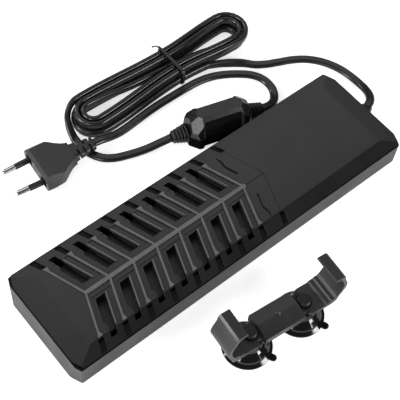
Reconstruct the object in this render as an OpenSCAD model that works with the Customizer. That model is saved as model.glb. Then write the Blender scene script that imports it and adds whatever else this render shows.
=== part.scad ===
// Flat submersible aquarium heater with a ventilated front, its flat twin mains lead
// folded into a tied hank, an inline control box, a two-pin plug and a loose clamp
// bracket on suction cups. All sizes are in millimetres.
// Origin: centre of the heater's back face. +X points to the display end, +Z out of the front.

/* [Heater housing] */
// Length of the housing
body_l = 248; // [240:1:300]
// Width of the housing
body_w = 70; // [68:0.5:80]
// Length that each corner cut takes off the long side
corner_l = 3.5; // [2:0.5:6]
// Width that each corner cut takes off the short side
corner_w = 8; // [5:0.5:10]
// Height of the rear shell, up to the parting line
shell_h = 18; // [17:0.5:24]
// Wall of the rear shell
wall = 2.2; // [1.6:0.1:3]
// Floor of the rear shell
floor_t = 2; // [1.5:0.1:3]
// Small bevel round the foot of the rear shell
foot = 1; // [0.5:0.1:1.5]
// How far the lower end wall leans out at its foot
end_lean = 1.8; // [0:0.1:3]
// Thickness of the front covers in the middle
face_t = 2.6; // [2.2:0.1:4]
// Thickness of the front covers at their rim
rim_t = 1; // [0.8:0.1:1.6]
// Width of the flat middle of the front
face_w = 52; // [48:0.5:56]
// Length of the bevel at the display end
display_bevel = 12; // [6:0.5:16]
// Length of the soft slope at the lower end
lower_bevel = 14; // [6:0.5:18]
// Play between parts that drop into each other
play = 0.15; // [0.1:0.05:0.3]

/* [Ribs and water slots] */
// Number of bays with a slot on each side
bays = 7; // [4:1:7]
// Distance from one chevron rib to the next
bay_pitch = 16.5; // [15.5:0.1:17]
// Distance of the first rib's apex from the lower end
first_rib = 29.7; // [26:0.1:32]
// How far a rib sweeps back over half the flat face
rib_sweep = 9.6; // [6:0.1:11]
// Width of a chevron rib
rib_w = 1.2; // [0.8:0.1:1.6]
// Height of the ribs above the face
rib_h = 0.8; // [0.4:0.1:1.2]
// Width of the middle spine
spine_w = 2.4; // [1.6:0.1:3]
// Start of a slot beyond its rib
slot_from = 4.5; // [4:0.1:5]
// End of a slot beyond its rib
slot_to = 10.9; // [10:0.1:11.5]
// How much the narrow outer part of a slot steps in
slot_step = 2.1; // [1:0.1:2.5]
// Distance of a slot's inner end from the middle
slot_in = 5.8; // [5:0.1:7]
// Distance of a slot's outer end from the middle
slot_out = 29.8; // [28:0.1:30]
// Depth of the collar under each slot
collar_h = 3.4; // [2:0.1:4]
// Depth of the shallow bay round each slot
bay_depth = 0.5; // [0.2:0.1:0.8]

/* [Heating bars] */
// Width of a heating bar
bar_w = 20; // [14:0.5:20]
// Thickness of a heating bar
bar_t = 6; // [4:0.5:7]
// Free height between a bar and the collars of the slots
bar_gap = 0.4; // [0.3:0.1:2]
// Distance of each bar's middle from the centre line
bar_y = 15.1; // [14.9:0.1:15.3]
// Distance of the bars' lower ends from the lower end of the housing
bar_start = 16; // [16:1:20]
// Free length for the wires between a bar and the bulkhead
bar_end_gap = 16; // [10:1:22]
// Wall of a bar's rubber end cap
cap_t = 1.2; // [0.8:0.1:1.5]
// Length of a bar's rubber end cap
cap_l = 8; // [5:0.5:10]
// Diameter of the temperature probe
probe_d = 4; // [3:0.1:5]
// Length of the temperature probe
probe_l = 28; // [20:1:40]

/* [Electronics] */
// Distance of the sealed bulkhead from the line where the two covers meet
bulkhead_gap = 2.3; // [1.5:0.1:4]
// Thickness of the bulkhead
bulkhead_t = 3; // [2:0.5:4]
// Free length in front of the control board, for the wires
board_gap = 4.5; // [4:0.5:8]
// Free length between the control board and the cord gland
board_end_gap = 3; // [2:0.5:6]
// Thickness of the circuit boards
board_t = 1.6; // [1:0.1:2]
// Height of the control board above the floor
board_lift = 5; // [3:0.5:6]
// Width of a display module, across the heater
display_w = 14; // [12:0.5:14]

/* [Fasteners] */
// Diameter of a screw boss
boss_d = 7; // [6.5:0.1:7.5]
// Diameter of a case screw's shank
screw_d = 2.8; // [2.4:0.1:3.2]
// Diameter of a case screw's head
screw_head_d = 5; // [4.6:0.1:5.2]
// Depth of a case screw's head
screw_head_h = 1.8; // [1.4:0.1:2.2]

/* [Cord] */
// Width of the flat twin cord
cord_w = 5.8; // [5:0.1:6]
// Thickness of the flat twin cord
cord_t = 3.6; // [3:0.1:3.7]
// Length of the cord gland outside the heater
gland_out = 8; // [6:0.5:8]
// Length of the cord gland inside the heater
gland_in = 14; // [12:0.5:16]

/* [Hank] */
// Offset of the outermost run from the hank's middle line
hank_r = 13.9; // [13.8:0.1:14.5]
// Step from one turn to the next in a layer
hank_step = 4.2; // [4.2:0.05:4.3]
// Wider step at the tied waist
waist_step = 4.3; // [4.3:0.05:4.5]
// How far the outermost run is drawn in at the waist
waist_draw = 3.4; // [2:0.1:3.6]
// Free height between the hank's two layers
layer_gap = 0.5; // [0.45:0.05:1]
// How far the tie lifts the waist off the surface
waist_lift = 1; // [0.9:0.1:1.4]
// Thickness of the twist tie
tie_t = 0.7; // [0.4:0.1:0.7]
// Width of the twist tie
tie_w = 1.8; // [1.6:0.1:3]

/* [Inline control box] */
// Length of the box
box_l = 44; // [43:1:46]
// Width of the box at its flared ends
box_w = 22; // [21.5:0.5:23]
// How far each long side is drawn in between the flared ends
box_waist = 1.5; // [0.6:0.1:2]
// Size of the facets that cut the box's corners
box_corner = 5.5; // [4:0.5:6]
// Height of the box
box_h = 22.5; // [20:0.5:24]
// Height of the break in the box's dome
box_shoulder = 18.6; // [17:0.1:19.5]
// Height of the box's parting line
box_split = 7.6; // [7:0.1:8.5]
// Width of the box's top facet
box_top_w = 7.5; // [5:0.5:9]
// Wall of the box
box_wall = 1.8; // [1.5:0.1:2.2]
// Height of the cord's axis through the box
box_axis_z = 6.8; // [6.6:0.1:7]
// Length of each ribbed strain relief outside the box
relief_out = 10; // [8:0.5:10]
// Length of each ribbed strain relief inside the box
relief_in = 10; // [8:0.5:11]
// Smallest diameter of a ribbed strain relief
relief_d = 8.6; // [8:0.1:9]
// Largest diameter of a ribbed strain relief
relief_big_d = 12.4; // [11:0.1:13]

/* [Plug] */
// Length of the plug's body
plug_l = 25; // [24:0.5:27]
// Width of the plug at its front
plug_w = 33; // [32:0.5:35]
// Height of the plug
plug_h = 13.7; // [13:0.1:14]
// Width of the plug's flat top and bottom
plug_flat = 24; // [20:0.5:25]
// Diameter of a pin
pin_d = 4; // [3.9:0.05:4.1]
// Length of a pin outside the plug
pin_l = 19; // [18:0.5:20]
// Length of a pin's insulating sleeve
sleeve_l = 10; // [9:0.5:11]
// Distance of the pins' axes at the plug's face
pin_pitch = 18.6; // [18:0.1:19]
// How much closer the pins' axes are at the tips
pin_toe_in = 1.1; // [0.4:0.1:1.5]
// Length of the plug's strain relief
boot_l = 15; // [13:0.5:15]

/* [Bracket] */
// Distance of the suction cups' axes at rest
cup_pitch = 37; // [36:0.5:40]
// Diameter of a suction cup's rim
cup_d = 29.6; // [26:0.2:32]
// Height of the jaws' base plates above the surface
plate_z = 13.6; // [13:0.1:15]
// Thickness of the jaws' base plates
plate_t = 3; // [2.5:0.1:3.5]
// Width of a jaw
jaw_w = 17.5; // [16:0.5:19]
// Thickness of a jaw's curved wall
jaw_t = 2.2; // [1.8:0.1:2.6]
// Half the free width between the jaws' walls at rest
grip_half = 35; // [34:0.25:37]
// Height of the lips above the surface
lip_z = 44.5; // [43:0.5:47]
// How far a lip reaches in over the heater
lip_reach = 5.6; // [4:0.1:7]
// Length of the sleeve that joins the jaws
sleeve_len = 27; // [26:0.5:28]
// Width of the sleeve
sleeve_w = 17.5; // [16:0.5:19]
// Height of the sleeve's eaves
eave_z = 18.6; // [18.2:0.1:19]
// Height of the sleeve's ridge
ridge_z = 20.6; // [19.6:0.1:22]
// Width of the arm of a jaw inside the sleeve
arm_w = 12; // [10:0.5:13]
// Diameter of a suction cup's stem
stem_d = 5.8; // [5:0.1:6.5]
// Diameter of a suction cup's head
knob_d = 8; // [7:0.1:8]
// Height of a suction cup's head above its jaw
knob_h = 3.6; // [1.5:0.1:4]
// How far each jaw slides out
jaw_travel = 6; // [4:0.5:6]

/* [Hidden] */
$fn = 48;

black = [0.055, 0.055, 0.06];
soft_black = [0.09, 0.09, 0.095];
rubber_black = [0.04, 0.04, 0.045];
board_green = [0.06, 0.22, 0.12];
steel = [0.72, 0.73, 0.75];

eps = 0.01;
face_z = shell_h + face_t;
half_l = body_l / 2;
half_w = body_w / 2;
lower_x = -half_l;

// Plan outline shared by the shell, its covers and the seal: a box with cut corners
function cut_box(x0, x1, hw, cl, cw) = [
    [x0, -hw + cw], [x0 + cl, -hw], [x1 - cl, -hw], [x1, -hw + cw],
    [x1, hw - cw], [x1 - cl, hw], [x0 + cl, hw], [x0, hw - cw]];

// The same outline moved in by a distance
function inset_box(x0, x1, d) =
    cut_box(x0 + d, x1 - d, half_w - d, corner_l, corner_w);

module plate(points, z0, z1) {
    translate([0, 0, z0])
        linear_extrude(z1 - z0)
            polygon(points);
}

// A polygon of [x, z] points drawn out along Y
module across(points, half) {
    translate([0, half, 0])
        rotate([90, 0, 0])
            linear_extrude(2 * half)
                polygon(points);
}

// A polygon of [y, z] points drawn out along X
module along(points, x0, x1) {
    translate([x0, 0, 0])
        rotate([90, 0, 90])
            linear_extrude(x1 - x0)
                polygon(points);
}

module box(lo, hi) {
    translate(lo)
        cube(hi - lo);
}

function arc(c, r, a0, a1, n) =
    [for (i = [0:n]) c + r * [cos(a0 + (a1 - a0) * i / n), sin(a0 + (a1 - a0) * i / n)]];

// Rectangle with round corners, centred on c
function round_box(c, w, h, r, n = 5) = concat(
    arc(c + [w / 2 - r, h / 2 - r], r, 0, 90, n),
    arc(c + [-w / 2 + r, h / 2 - r], r, 90, 180, n),
    arc(c + [-w / 2 + r, -h / 2 + r], r, 180, 270, n),
    arc(c + [w / 2 - r, -h / 2 + r], r, 270, 360, n));

// ---------- Chevron coordinates: p runs along the heater from a rib, q out from the middle

rib_slope = rib_sweep / (face_w / 2);
function bay(i, side, p, q) =
    [lower_x + first_rib + i * bay_pitch + p - rib_slope * q, side * q];

module bay_plate(i, side, points, z0, z1) {
    plate([for (t = points) bay(i, side, t[0], t[1])], z0, z1);
}

step_from = 20;
step_to = 22.5;
function slot_outline(g) = [
    [slot_from - g, slot_in - g], [slot_to + g, slot_in - g], [slot_to + g, slot_out + g],
    [slot_from + slot_step - g, slot_out + g], [slot_from + slot_step - g, step_to],
    [slot_from - g, step_from]];

// Shallow bay that surrounds a slot on the flat face
bay_from = 2.4;
bay_to = bay_pitch - rib_w / 2 - 0.6;
bay_in = 4.3;
bay_end = face_w / 2 - 0.8;
function bay_outline() = [
    [bay_from, bay_in], [bay_to, bay_in], [bay_to, bay_end],
    [bay_from + slot_step, bay_end], [bay_from + slot_step, step_to - 1],
    [bay_from, step_from - 1]];

// Raised lip along the display side of a slot
lip_w = 0.8;
lip_h = 0.2;
lip_gap = 0.15;
module slot_lip(i, side) {
    bay_plate(i, side, [[slot_to + lip_gap, slot_in], [slot_to + lip_gap + lip_w, slot_in],
        [slot_to + lip_gap + lip_w, bay_end - 0.4], [slot_to + lip_gap, bay_end - 0.4]],
        face_z - bay_depth - eps, face_z + lip_h);
}

// Blind slit of the last bay
slit_w = 1.5;
slit_depth = 1.2;
slit_from = slot_from + 1.6;
function slit_outline() = [
    [slit_from, slot_in + 3], [slit_from + slit_w, slot_in + 3],
    [slit_from + slit_w, step_from - 3], [slit_from + slit_w + slot_step, step_to],
    [slit_from + slit_w + slot_step, bay_end], [slit_from + slot_step + 0.5, bay_end],
    [slit_from + slot_step + 0.5, step_to], [slit_from, step_from - 2]];

ribs = bays + 1;
border = ribs;
border_gap = 0.25;

// ---------- Rear shell

ledge_w = 1.6;
skirt_t = 1.5;
skirt_h = 2.6;
skirt_back = 16;
seal_t = 1;
ledge_z = shell_h - skirt_h - seal_t;
bulkhead_at = first_rib + ribs * bay_pitch + bulkhead_gap;
dry_x = lower_x + bulkhead_at + bulkhead_t;
post_z = shell_h - 5;
gland_y = 1;
gland_z = 9;
gland_neck_w = 9;
gland_neck_h = 7;

// Screw places: two at the lower end, two between slots, four round the dry compartment
boss_in = wall + play + boss_d / 2;
boss_y = half_w - boss_in;
dry_boss_y = boss_y - ledge_w;
mid_boss_x = bay(3, 1, 0, boss_y)[0];
boss_places = [
    [lower_x + boss_in + 2.5, boss_y - 4], [mid_boss_x, boss_y],
    [dry_x + ledge_w + boss_d / 2 + play, dry_boss_y],
    [half_l - boss_in - 2.8, dry_boss_y - 3.2]];
grille_bosses = [boss_places[0], boss_places[1]];
cover_bosses = [boss_places[2], boss_places[3]];

// Outline of the dry compartment: d in from the outside of the shell, d0 behind the bulkhead
function dry_box(d0, d) = [
    [dry_x + d0, -half_w + d], [half_l - d - corner_l, -half_w + d],
    [half_l - d, -half_w + d + corner_w], [half_l - d, half_w - d - corner_w],
    [half_l - d - corner_l, half_w - d], [dry_x + d0, half_w - d]];

module at_bosses(places) {
    for (c = places, side = [-1, 1])
        translate([c[0], side * c[1], 0])
            children();
}

module shell_outer() {
    low_x = lower_x - end_lean;
    intersection() {
        plate(cut_box(low_x, half_l, half_w, corner_l, corner_w), 0, shell_h);
        across([[low_x, foot], [low_x + foot, 0], [half_l - foot, 0], [half_l, foot],
            [half_l, shell_h], [lower_x, shell_h]], body_w);
        along([[-half_w, foot], [-half_w + foot, 0], [half_w - foot, 0], [half_w, foot],
            [half_w, shell_h], [-half_w, shell_h]], -body_l, body_l);
    }
}

standoff_d = 5;
board_x0 = dry_x + ledge_w + board_gap;
board_l = half_l - gland_in - board_end_gap - board_x0;
board_w = 2 * (dry_boss_y - boss_d / 2 - 1);
board_z = floor_t + board_lift;
standoff_in = 4;
// Place along the board, as a share of its length
function board_at(t) = board_x0 + t * board_l;

module at_board_corners() {
    for (x = [standoff_in, board_l - standoff_in], sy = [-1, 1])
        translate([board_x0 + x, sy * (board_w / 2 - standoff_in), 0])
            children();
}

module rear_shell() {
    color(soft_black)
        difference() {
            union() {
                difference() {
                    shell_outer();
                    plate(inset_box(lower_x, half_l, wall), floor_t, shell_h + 1);
                }
                at_bosses(boss_places)
                    cylinder(d = boss_d, h = post_z);
                // ledge that carries the seal round the dry compartment
                difference() {
                    plate(dry_box(0, wall - eps), floor_t - eps, ledge_z);
                    plate(dry_box(ledge_w, wall + ledge_w), 0, shell_h);
                }
                at_board_corners()
                    cylinder(d = standoff_d, h = board_z);
            }
            at_bosses(boss_places) {
                translate([0, 0, -1])
                    cylinder(d = screw_d + 0.4, h = shell_h);
                translate([0, 0, -1])
                    cylinder(d = screw_head_d + 0.8, h = 1 + screw_head_h + 0.8);
            }
            along(round_box([gland_y, gland_z], gland_neck_w, gland_neck_h, 3),
                half_l - wall - ledge_w - 1, half_l + 1);
            wire_paths(wire_d + 0.3, dry_x - 1, dry_x + ledge_w + 1);
            translate([dry_x - 1, 0, bar_mid_z])
                rotate([0, 90, 0])
                    cylinder(d = wire_d + 0.3, h = ledge_w + 2);
        }
}

// ---------- Front covers

module cover_block() {
    intersection() {
        plate(cut_box(lower_x, half_l, half_w, corner_l, corner_w), shell_h, face_z);
        across([[lower_x, shell_h], [half_l, shell_h], [half_l, shell_h + rim_t],
            [half_l - display_bevel, face_z], [lower_x + lower_bevel, face_z],
            [lower_x, shell_h + rim_t]], body_w);
        along([[-half_w, shell_h], [half_w, shell_h], [half_w, shell_h + rim_t],
            [face_w / 2, face_z], [-face_w / 2, face_z], [-half_w, shell_h + rim_t]],
            -body_l, body_l);
    }
}

// Region on the lower side of the chevron that parts the two covers, moved by d
function lower_region(d) = [
    bay(border, 1, d, 0), bay(border, 1, d, body_w), [lower_x - 10, body_w],
    [lower_x - 10, -body_w], bay(border, -1, d, body_w)];

pilot_d = screw_d - 0.5;
boss_screw_z = shell_h - 0.5;

module cover_bosses_at(places) {
    at_bosses(places)
        translate([0, 0, post_z])
            cylinder(d = boss_d, h = shell_h - post_z + eps);
}

module cover_pilots_at(places) {
    at_bosses(places)
        translate([0, 0, post_z - 1])
            cylinder(d = screw_d, h = boss_screw_z + 0.4 - post_z + 1);
}

module chevron_rib(i) {
    for (side = [-1, 1])
        bay_plate(i, side, [[-rib_w / 2, 0], [rib_w / 2, 0], [rib_w / 2, face_w / 2 - 3],
            [rib_w / 2 + 1.6, face_w / 2], [-rib_w / 2 - 0.2, face_w / 2],
            [-rib_w / 2, face_w / 2 - 3]], face_z - eps, face_z + rib_h);
}

notch_end = half_w - 0.8;

module side_notch(i) {
    for (side = [-1, 1])
        bay_plate(i, side, [[-1.5, face_w / 2 + 0.7], [2.2, face_w / 2 + 0.7],
            [2.2, notch_end], [-1.5, notch_end]], shell_h + 0.35, face_z + 1);
}

module front_grille() {
    skirt_end = lower_x + bulkhead_at - skirt_back;
    color(black) {
        for (i = [0:bays - 1], side = [-1, 1])
            slot_lip(i, side);
        difference() {
            union() {
                intersection() {
                    cover_block();
                    plate(lower_region(-border_gap / 2), 0, face_z + 1);
                }
                // skirt that drops inside the shell round the wet chamber
                intersection() {
                    difference() {
                        plate(inset_box(lower_x, half_l, wall + play),
                            shell_h - skirt_h, shell_h + eps);
                        plate(inset_box(lower_x, half_l, wall + play + skirt_t), 0, shell_h + 1);
                    }
                    box([-body_l, -body_w, 0], [skirt_end, body_w, shell_h + eps]);
                }
                cover_bosses_at(grille_bosses);
                for (i = [0:bays - 1], side = [-1, 1])
                    bay_plate(i, side, slot_outline(1.2), shell_h - collar_h, shell_h + eps);
                for (i = [0:ribs - 1])
                    chevron_rib(i);
                plate([bay(0, 1, 0, 0) + [0, -spine_w / 2], bay(ribs - 1, 1, 0, 0) + [0, -spine_w / 2],
                    bay(ribs - 1, 1, 0, 0) + [0, spine_w / 2], bay(0, 1, 0, 0) + [0, spine_w / 2]],
                    face_z - eps, face_z + rib_h);
                translate([bay(ribs - 1, 1, 0, 0)[0], 0, face_z - eps])
                    cylinder(d = spine_w + 1, h = rib_h + eps);
            }
            cover_pilots_at(grille_bosses);
            for (i = [0:bays - 1], side = [-1, 1]) {
                bay_plate(i, side, slot_outline(0), 0, face_z + 2);
                bay_plate(i, side, bay_outline(), face_z - bay_depth, face_z + rib_h + 1);
            }
            // the last bay has only a narrow blind slit on each side
            for (side = [-1, 1])
                bay_plate(bays, side, slit_outline(), face_z - slit_depth, face_z + 1);
            for (i = [0:ribs])
                side_notch(i);
            // fine groove that carries the spine on to the control cover
            box([bay(ribs - 1, 1, 2.4, 0)[0], -0.3, face_z - 0.4],
                [bay(border, 1, 0, 0)[0], 0.3, face_z + 1]);
        }
    }
}

display_l = 0.155 * board_l;
display_in = 19.5;
display_y = half_w - display_in;
display_places = [[board_at(0.205), display_y], [board_at(0.465), display_y + 0.5]];
window_t = 1.2;
pad_x = board_at(0.826);
pad_d = 8;
pad_ys = [9.7, -10];

module control_cover() {
    color(black)
        difference() {
            union() {
                difference() {
                    cover_block();
                    plate(lower_region(border_gap / 2), 0, face_z + 1);
                }
                difference() {
                    plate(dry_box(play, wall + play), shell_h - skirt_h, shell_h + eps);
                    plate(dry_box(play + skirt_t, wall + play + skirt_t), 0, shell_h + 1);
                }
                cover_bosses_at(cover_bosses);
            }
            cover_pilots_at(cover_bosses);
            side_notch(border);
            // pockets that leave a thin skin over the displays
            for (c = display_places)
                box([c[0] - display_l / 2 - play, c[1] - display_w / 2 - play, shell_h - 1],
                    [c[0] + display_l / 2 + play, c[1] + display_w / 2 + play, face_z - window_t]);
        }
}

module compartment_seal() {
    color(rubber_black)
        difference() {
            plate(dry_box(play, wall + play), ledge_z, ledge_z + seal_t);
            plate(dry_box(ledge_w, wall + ledge_w), 0, shell_h);
        }
}

module bulkhead() {
    x0 = lower_x + bulkhead_at;
    color(soft_black)
        difference() {
            along([[-half_w + wall + play, floor_t], [half_w - wall - play, floor_t],
                [half_w - wall - play, shell_h], [-half_w + wall + play, shell_h]],
                x0, x0 + bulkhead_t);
            wire_paths(wire_d + 0.3, x0 - 1, x0 + bulkhead_t + 1);
            translate([x0 - 1, 0, bar_mid_z])
                rotate([0, 90, 0])
                    cylinder(d = wire_d + 0.3, h = bulkhead_t + 2);
        }
}

// ---------- Heating bars and probe

bar_z0 = shell_h - collar_h - bar_gap - bar_t;
bar_mid_z = bar_z0 + bar_t / 2;
bar_x0 = lower_x + bar_start;
bar_x1 = lower_x + bulkhead_at - bar_end_gap;

module heating_bar(side) {
    color(rubber_black)
        along(round_box([side * bar_y, bar_mid_z], bar_w, bar_t, 1), bar_x0, bar_x1);
}

module heating_bar_left() {
    heating_bar(1);
}

module heating_bar_right() {
    heating_bar(-1);
}

module bar_end_caps() {
    grip = cap_l - 2;
    color(rubber_black)
        for (side = [-1, 1], end = [0, 1]) {
            x = end == 0 ? bar_x0 - 2 : bar_x1 + 2 - cap_l;
            difference() {
                along(round_box([side * bar_y, bar_mid_z], bar_w + 2 * cap_t,
                    bar_t + 2 * cap_t, 1.6), x, x + cap_l);
                along(round_box([side * bar_y, bar_mid_z], bar_w, bar_t, 1),
                    end == 0 ? bar_x0 : bar_x1 - grip - 1, end == 0 ? bar_x0 + grip + 1 : bar_x1);
                if (end == 1)
                    wire_paths(wire_d, x, x + cap_l + 1);
            }
        }
}

// One cradle lies under each second rib
cradle_t = 3;
cradle_z = bar_z0 + bar_t * 0.7;
cradle_y = bar_y + bar_w / 2 + 2.5;
cradle_ribs = [1, 4, 6];

module bar_cradles() {
    color(soft_black)
        for (i = cradle_ribs) {
            x = bay(i, 1, 0, bar_y)[0];
            difference() {
                box([x, -cradle_y, floor_t], [x + cradle_t, cradle_y, cradle_z]);
                for (side = [-1, 1])
                    along([[side * bar_y - bar_w / 2, bar_z0], [side * bar_y + bar_w / 2, bar_z0],
                        [side * bar_y + bar_w / 2, cradle_z + 1],
                        [side * bar_y - bar_w / 2, cradle_z + 1]], x - 1, x + cradle_t + 1);
                translate([x - 1, 0, bar_mid_z])
                    rotate([0, 90, 0])
                        cylinder(d = probe_d + 0.2, h = cradle_t + 2);
            }
        }
}

probe_x = bay(4, 1, 0, bar_y)[0] - 6;

module temperature_probe() {
    color(steel)
        translate([probe_x, 0, bar_mid_z])
            rotate([0, 90, 0]) {
                cylinder(d = probe_d, h = probe_l);
                sphere(d = probe_d);
            }
}

// Two supply wires run from each bar and one from the probe into the dry compartment
wire_d = 1.8;
wire_dy = 4;
wire_end = dry_x + 5;

module wire_paths(d, x0, x1) {
    for (side = [-1, 1], k = [-1, 1])
        translate([x0, side * bar_y + k * wire_dy, bar_mid_z])
            rotate([0, 90, 0])
                cylinder(d = d, h = x1 - x0);
}

module heater_wires() {
    color([0.55, 0.12, 0.1]) {
        wire_paths(wire_d, bar_x1, wire_end);
        translate([probe_x + probe_l, 0, bar_mid_z])
            rotate([0, 90, 0])
                cylinder(d = wire_d, h = wire_end - probe_x - probe_l);
    }
}

// ---------- Electronics

module control_board() {
    color(board_green)
        box([board_x0, -board_w / 2, board_z],
            [board_x0 + board_l, board_w / 2, board_z + board_t]);
}

module display_modules() {
    color([0.15, 0.15, 0.16])
        for (c = display_places)
            box([c[0] - display_l / 2, c[1] - display_w / 2, part_z],
                [c[0] + display_l / 2, c[1] + display_w / 2, shell_h]);
}

part_z = board_z + board_t;
relay_w = 15.5;
relay_h = 8;
relay_in = 4;
relay_y = -board_w / 2 + relay_in;

module power_relay() {
    color([0.1, 0.2, 0.45])
        box([board_at(0.14), relay_y, part_z],
            [board_at(0.47), relay_y + relay_w, part_z + relay_h]);
}

module smoothing_capacitor() {
    can_d = 8;
    color([0.2, 0.22, 0.3])
        translate([board_at(0.5), relay_y + can_d / 2, part_z + can_d / 2])
            rotate([0, 90, 0])
                cylinder(d = can_d, h = 0.23 * board_l);
}

module triac_heat_sink() {
    fins = 6;
    fin_gap = 0.045 * board_l;
    fin_t = 1;
    base_t = 1.5;
    y0 = relay_y + relay_w + 1;
    y1 = display_y - display_w / 2 - 1;
    color(steel)
        translate([board_at(0.035), 0, part_z]) {
            box([0, y0, 0], [(fins - 1) * fin_gap + fin_t, y1, base_t]);
            for (i = [0:fins - 1])
                box([i * fin_gap, y0, base_t - eps], [i * fin_gap + fin_t, y1, 7]);
        }
}

module touch_pads() {
    color(rubber_black)
        for (y = pad_ys)
            translate([pad_x, y, part_z])
                cylinder(d = pad_d, h = shell_h - part_z);
}

module case_screws() {
    head_z = screw_head_h + 0.8;
    color(steel)
        at_bosses(boss_places)
            difference() {
                union() {
                    translate([0, 0, head_z - screw_head_h])
                        cylinder(d = screw_head_d, h = screw_head_h);
                    translate([0, 0, head_z - eps])
                        cylinder(d = screw_d, h = boss_screw_z - head_z);
                }
                for (a = [0, 90])
                    translate([0, 0, head_z - screw_head_h])
                        rotate([0, 0, a])
                            cube([screw_head_d * 0.6, 0.7, 1.6], center = true);
            }
}

// ---------- Cord gland: a collar inside, a neck in the wall and a tapered tail outside

gland_turn = 20;
gland_end = [half_l + gland_out, gland_y + 1.5, gland_z];

module gland_slice(c, turn, w, h, t) {
    translate(c)
        rotate([0, 0, turn])
            along(round_box([0, 0], w, h, h / 2 - 0.1), -t, 0);
}

module cord_gland() {
    collar = 2.5;
    inner_x = half_l - wall - ledge_w;
    color(rubber_black) {
        along(round_box([gland_y, gland_z], gland_neck_w, gland_neck_h, 3), inner_x - eps, half_l);
        along(round_box([gland_y, gland_z], gland_neck_w + 4, gland_neck_h + 3, 3),
            inner_x - play - collar, inner_x - play);
        along(round_box([gland_y, gland_z], gland_neck_w, gland_neck_h, 3),
            inner_x - play - eps, inner_x);
        hull() {
            gland_slice([inner_x - collar, gland_y, gland_z], 0, gland_neck_w, gland_neck_h, 1);
            gland_slice([half_l - gland_in, gland_y, gland_z], 0, cord_w + 1.2, cord_t + 1.2, 1);
        }
        hull() {
            gland_slice([half_l + play + 1, gland_y, gland_z], 0, gland_neck_w + 2.4,
                gland_neck_h + 1.6, 1);
            gland_slice(gland_end, gland_turn, cord_w + 1.6, cord_t + 1.6, 1);
        }
        along(round_box([gland_y, gland_z], gland_neck_w, gland_neck_h, 3),
            half_l - eps, half_l + play + eps);
    }
}

// ---------- Flat cord

// Eight-sided section of the flat cord, wide along the first axis
cord_section = [for (s = [[1, 0.4], [0.6, 1], [-0.6, 1], [-1, 0.4], [-1, -0.4], [-0.6, -1],
    [0.6, -1], [1, -0.4]]) [s[0] * cord_w / 2, s[1] * cord_t / 2]];
// Six-sided section for the hank, where the cord stands on edge
edge_section = [for (s = [[1, 0], [0.55, 1], [-0.55, 1], [-1, 0], [-0.55, -1], [0.55, -1]])
    [s[0] * cord_w / 2, s[1] * cord_t / 2]];

function unit(v) = v / norm(v);
function tangent(p, i) = unit(p[min(i + 1, len(p) - 1)] - p[max(i - 1, 0)]);
// Horizontal normal of a run, then the axis at right angles to it
function side_axis(t) = unit([-t[1], t[0], 0]);
function ring(c, t, section, twist) =
    let (n = side_axis(t), u = cross(t, n))
    [for (s = section)
        c + n * (s[0] * cos(twist) - s[1] * sin(twist)) + u * (s[0] * sin(twist) + s[1] * cos(twist))];

// One closed tube through the points p; each point has its own twist
module tube(p, section, twists, t0 = undef, t1 = undef) {
    m = len(section);
    n = len(p);
    first = is_undef(t0) ? tangent(p, 0) : t0;
    last = is_undef(t1) ? tangent(p, n - 1) : t1;
    points = [for (i = [0:n - 1])
        each ring(p[i], i == 0 ? first : i == n - 1 ? last : tangent(p, i), section, twists[i])];
    walls = [for (i = [0:n - 2], k = [0:m - 1])
        let (a = i * m + k, b = i * m + (k + 1) % m)
        each [[a, a + m, b], [b, a + m, b + m]]];
    near_cap = [for (k = [1:m - 2]) [0, k, k + 1]];
    far_cap = [for (k = [1:m - 2]) [(n - 1) * m, (n - 1) * m + k + 1, (n - 1) * m + k]];
    polyhedron(points = points, faces = concat(walls, near_cap, far_cap));
}

function route_length(p) = len(p) < 2 ? 0 :
    let (d = [for (i = [1:len(p) - 1]) norm(p[i] - p[i - 1])]) d * [for (x = d) 1];

flat_z = 1.8;

// From the heater's gland round to the near side of the hank
heater_route = [
    [132, 2.5, 9], [137.4, 4.9, 8.4], [141.6, 9, 7], [144.4, 14.6, 5.2], [146, 21.4, 3.4],
    [146.6, 29, 2.2], [145.8, 37, 1.8], [143.2, 45, 1.8], [138.6, 53, 1.8], [132, 60, 1.8],
    [124, 65.2, 1.8], [115.6, 69, 1.8], [107.8, 72.6, 1.8], [101, 77, 1.8],
    [95.4, 82.2, 2.34], [89, 87, 2.6], [82, 91, 2.96]];

// From the far side of the hank round its end and on to the control box
box_route = [
    [-17.6, 119.5, 9.2], [-22.7, 117, 8.6], [-27, 112.8, 7.2], [-29.7, 107, 4.9],
    [-31.1, 100.8, 2.8], [-31.4, 96.8, 2], [-31.3, 92.6, 1.81], [-30.3, 86.8, 1.8],
    [-28.2, 81.4, 1.8], [-24.6, 76.4, 1.8], [-19, 72.6, 1.8], [-12.4, 70, 1.8], [-5.4, 67.8, 1.8],
    [1.6, 65.8, 2.4], [8.2, 63.8, 4.2]];

// From the control box along the hank to the plug
plug_route = [
    [83.6, 43.7, 5.4], [89, 45.4, 3.6], [93.6, 49.2, 2.2], [96.7, 54.5, 1.8], [97.6, 61, 1.8],
    [96.2, 67, 1.8], [92.6, 72.4, 1.8], [87.4, 77, 1.8], [81.4, 81.2, 1.8], [74.8, 84.8, 1.8],
    [67.8, 87.3, 1.8], [60, 88.7, 1.8], [52, 89.2, 1.8], [44, 89.3, 1.8], [36, 89.3, 1.8],
    [28, 89.2, 1.8], [20, 88.8, 1.8], [11, 88, 1.8], [2.4, 87.1, 1.8], [-5.6, 86.4, 2.4],
    [-12.8, 86.1, 4.2], [-19.8, 86.5, 6.2]];

function ramp(i, i0, i1) = min(1, max(0, (i - i0) / (i1 - i0)));

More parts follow.
